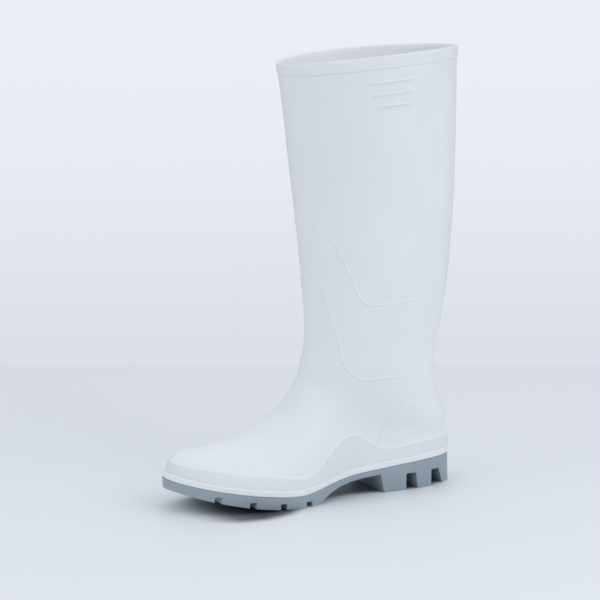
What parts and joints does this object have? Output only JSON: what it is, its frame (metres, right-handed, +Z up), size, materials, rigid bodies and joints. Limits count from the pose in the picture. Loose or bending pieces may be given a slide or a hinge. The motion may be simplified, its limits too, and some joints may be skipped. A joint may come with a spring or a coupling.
{
  "type": "work boot",
  "caption": "Knee-high moulded left work boot: hollow shaft and foot in one, open at the collar, on a lugged sole with a blocked heel.",
  "frame": {"origin": "on the floor, under the middle of the boot's overall box", "axes": "+Z up the shaft, toe towards -Y, outer side of the foot towards +X"},
  "size_m": [0.1432, 0.287, 0.4082],
  "materials": {
    "upper": "satin soft plastic",
    "outsole": "satin",
    "insole": "matt felt"
  },
  "bodies": {
    "root": {"upper": "upper", "outsole": "outsole", "insole": "insole"}
  },
  "joints": []
}
